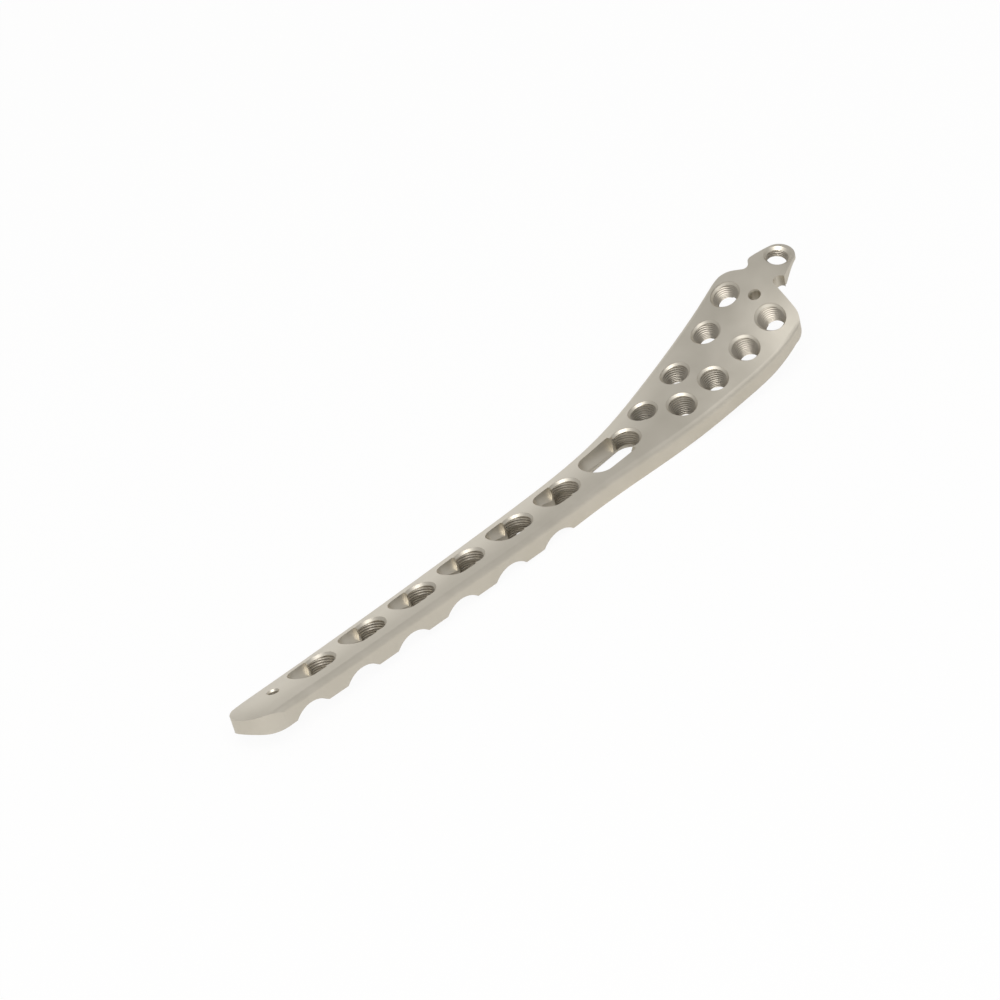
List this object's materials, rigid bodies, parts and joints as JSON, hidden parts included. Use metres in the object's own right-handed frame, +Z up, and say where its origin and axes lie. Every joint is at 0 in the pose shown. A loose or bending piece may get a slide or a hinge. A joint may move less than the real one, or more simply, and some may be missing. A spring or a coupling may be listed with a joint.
{
  "type": "bone plate",
  "caption": "Contoured low-bend locking plate for the inner side of the lower shin bone, with a wide threaded head, a tab and a scalloped shaft.",
  "frame": {"origin": "under the middle of the bounding box, on the surface the plate lies on", "axes": "+X along the plate from the rounded tip to the wide head and its tab, +Z up out of the outer face, +Y across the plate; it lies on its inner face as it would rest on a table"},
  "size_m": [0.1558, 0.02, 0.0175],
  "materials": {
    "satin_steel": "bead-blasted satin stainless implant steel"
  },
  "bodies": {
    "root": {"bone_plate": "satin_steel"}
  },
  "joints": []
}
